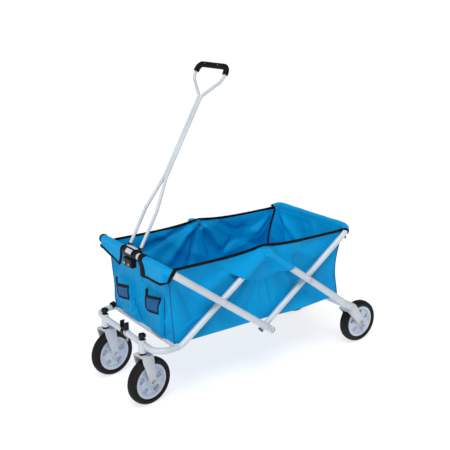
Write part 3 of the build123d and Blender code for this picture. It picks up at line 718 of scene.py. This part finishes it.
def floor_cloth():
    """The tub's floor, slack between its edges."""
    cols, rows = 121, 61
    u, w = np.meshgrid(np.linspace(-1, 1, cols), np.linspace(-1, 1, rows))
    x, y = u * 0.4170, w * (SIDE_Y - 0.0005)
    hold = smooth((1 - np.abs(u)) / 0.08) * smooth((1 - np.abs(w)) / 0.1)
    z = FLOOR_Z - 0.001 * hold + 0.0011 * hold * (waves(x / 0.3, y / 0.3, 91, 8, 0.8, 2.4))
    piece = shell("floor_cloth", np.stack([x + MX, y, z], axis=2), 0.0018, AZURE)
    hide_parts("floor_panel")
    return piece


fold_with = []
for side in (1, -1):
    wall, tapes = side_wall(side)
    fold_with += [wall, pivot_flap(side)] + tapes
fold_with.append(floor_cloth())
for piece in fold_with:
    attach(piece, "tub")
    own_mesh(piece)

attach(end_wall(1), "front_wall")
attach(end_wall(-1), "rear_wall")
for side in (1, -1):
    pane, tapes = window(side)
    if side > 0:
        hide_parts("front_pockets")
    for piece in [pane] + tapes:
        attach(piece, "front_wall")
    piece, tapes = front_sleeve(side)
    if side > 0:
        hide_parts("front_sleeves")
    hung([piece] + tapes)
pieces, tapes = rear_sleeve()
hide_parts("rear_sleeve")
hung(pieces + tapes)


# Tyres, knobs and other small pieces

CASTER_TURN = 8.0     # the casters' turn at rest, in degrees


def tyre(node, body):
    """A tyre in place of its CAD node, with notches round both shoulders; its section is (radius, y)."""
    low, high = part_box(node)
    centre = (low + high) / 2
    turned = CASTER_TURN if node.startswith("front") else 0.0
    count, notch, notch_every = 180, 0.0016, 4
    section = [(0.0700, -0.0165), (0.0745, -0.0205), (0.0800, -0.0220), (0.0860, -0.0216), (0.0868, -0.0213),
               (0.0874, -0.0203), (0.0905, -0.0180), (0.0925, -0.0145), (0.0940, -0.0100), (0.0932, -0.0092),
               (0.0932, -0.0080), (0.0944, -0.0072), (0.0949, -0.0028), (0.0938, -0.0022), (0.0938, -0.0005)]
    section = section + [(r, -y) for r, y in reversed(section)]
    turn = Matrix.Rotation(math.radians(turned), 3, "Z")
    verts, faces = [], []
    m = len(section)
    for i in range(count):
        a = math.tau * i / count
        for k, (r, y) in enumerate(section):
            shoulder = 0.0095 < abs(y) < 0.0185 and r > 0.0895
            if shoulder and (i + (2 if y > 0 else 0)) % notch_every == 0:
                r = r - notch
            v = turn @ Vector((r * math.cos(a), y, r * math.sin(a)))
            verts.append(v + centre)
    for i in range(count):
        j = (i + 1) % count
        for k in range(m):
            n = (k + 1) % m
            faces.append((i * m + k, i * m + n, j * m + n, j * m + k))
    piece = make(node + "_tread", verts, faces, RUBBER)
    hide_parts(node)
    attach(piece, body)


for tag in ("near", "far"):
    tyre("front_tyre_" + tag, "front_wheel_" + tag)
    tyre("rear_tyre_" + tag, "rear_wheel_" + tag)


def knob(side):
    """A five-lobed hand knob on the caster's stem; its section is (radius, height)."""
    node = "caster_knob_near" if side > 0 else "caster_knob_far"
    low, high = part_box(node)
    centre = (low + high) / 2
    section = [(0.0, 0.0), (0.0085, 0.0), (0.0095, 0.0015), (0.0090, 0.0065), (0.0135, 0.0085),
               (0.0150, 0.0110), (0.0150, 0.0185), (0.0138, 0.0215), (0.0090, 0.0228), (0.0075, 0.0212),
               (0.0, 0.0208)]
    rings, count, lobes, lobe_depth = len(section), 90, 5, 0.20
    verts, faces = [], []
    for i in range(count):
        a = math.tau * i / count
        for r, h in section:
            dent = lobe_depth * (0.5 - 0.5 * math.cos(lobes * a)) ** 1.5
            lobe = 1 - dent * smooth((r - 0.010) / 0.003) * smooth((h - 0.006) / 0.002)
            verts.append((centre[0] + r * lobe * math.cos(a), centre[1] + r * lobe * math.sin(a), low[2] + h))
    for i in range(count):
        j = (i + 1) % count
        for k in range(rings - 1):
            n = k + 1
            if section[k][0] == 0.0:
                faces.append((0, j * rings + n, i * rings + n))
            elif section[n][0] == 0.0:
                faces.append((i * rings + k, j * rings + k, rings - 1))
            else:
                faces.append((i * rings + k, j * rings + k, j * rings + n, i * rings + n))
    used = sorted({v for f in faces for v in f})       # the axis points are shared, so some stay unused
    index = {v: i for i, v in enumerate(used)}
    faces = [tuple(index[v] for v in f) for f in faces]
    piece = make(node + "_lobed", [verts[v] for v in used], faces, BLACK)
    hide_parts(node)
    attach(piece, "caster_near" if side > 0 else "caster_far")


def webbing():
    """A loop of black webbing that ties the tub's far front bottom corner to the lower frame."""
    centre, radius = np.array([0.4640, -0.245, 0.2590]), 0.0136
    angles = np.linspace(0, math.tau, 49)[:-1, None]
    along, up, across = np.array([0.96, 0, -0.28]), np.array([0.28, 0, 0.96]), np.array([0, 1.0, 0])
    ring = centre + radius * (np.cos(angles) * up + np.sin(angles) * across)
    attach(strip("corner_webbing_far", ring, along, 0.020, 0.0028, closed=True), "front_lower")


def clamp_plate():
    """A thin white plate let into the front of the rail clamp's barrel."""
    rows, half, radius, rounding = 12, 0.0215, 0.0213, 0.0002
    around = np.linspace(math.radians(12), math.radians(64), 24)
    angles, ys = np.meshgrid(around, np.linspace(-half, half, rows))
    r = radius - np.abs(np.linspace(-1, 1, rows))[:, None] ** 8 * rounding
    grid = np.stack([RAIL.x + r * np.cos(angles), ys, RAIL.z + r * np.sin(angles)], axis=2)
    piece = shell("rail_clamp_plate", grid, 0.0012, WHITE)
    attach(piece, "front_upper")


for side in (1, -1):
    knob(side)
webbing()
clamp_plate()

for node in NODES.values():
    if not node.hide_render:
        node.data.shade_smooth()
        edges = node.modifiers.new("edges", "EDGE_SPLIT")
        edges.split_angle = math.radians(32)


# Floor, light and camera

def floor():
    """A pale floor that glows a little, so that it stays light under the object."""
    bpy.ops.mesh.primitive_plane_add(size=1600, location=(0, 0, -0.0005))
    obj = bpy.context.object
    obj.name = "studio_floor"
    m, shader = material("studio_floor", (0.35, 0.35, 0.35), rough=0.9, spec=0.1)
    g = Graph(m, shader)
    g.color(g.ramp(g.noise(0.6), [(0.3, (0.34, 0.34, 0.34)), (0.7, (0.36, 0.36, 0.36))]))
    shader.inputs["Emission Color"].default_value = (1, 1, 1, 1)
    shader.inputs["Emission Strength"].default_value = 0.74
    obj.data.materials.append(m)


def light(name, direction, strength, softness):
    """A large softbox, far off in the given direction."""
    data = bpy.data.lights.new(name, "SUN")
    data.energy, data.angle = strength, softness
    obj = bpy.data.objects.new(name, data)
    obj.rotation_euler = Vector(direction).to_track_quat("Z", "Y").to_euler()
    scene.collection.objects.link(obj)


floor()
light("key", (0.30, 0.42, 0.85), 1.9, 0.5)
light("front", (1.0, 0.25, 0.12), 0.7, 0.4)
world = bpy.data.worlds.new("studio")
world.use_nodes = True
world.node_tree.nodes["Background"].inputs["Color"].default_value = (1.0, 1.0, 1.0, 1)
world.node_tree.nodes["Background"].inputs["Strength"].default_value = 0.36
scene.world = world
scene.view_settings.view_transform = "Standard"

# The photograph's camera, fitted to the cart's own points
CAMERA_AT = Vector((1.842874, 2.466543, 1.505935))
TILT, ROLL, TURN = 73.41033, 0.10342, 144.07797
camera = bpy.data.objects.new("camera", bpy.data.cameras.new("camera"))
scene.collection.objects.link(camera)
turned = Euler([math.radians(angle) for angle in (TILT, ROLL, TURN)])
camera.matrix_world = Matrix.LocRotScale(CAMERA_AT, turned, None)
camera.data.lens = 61.2946
camera.data.sensor_width = 36
camera.data.clip_end = 3000
scene.camera = camera
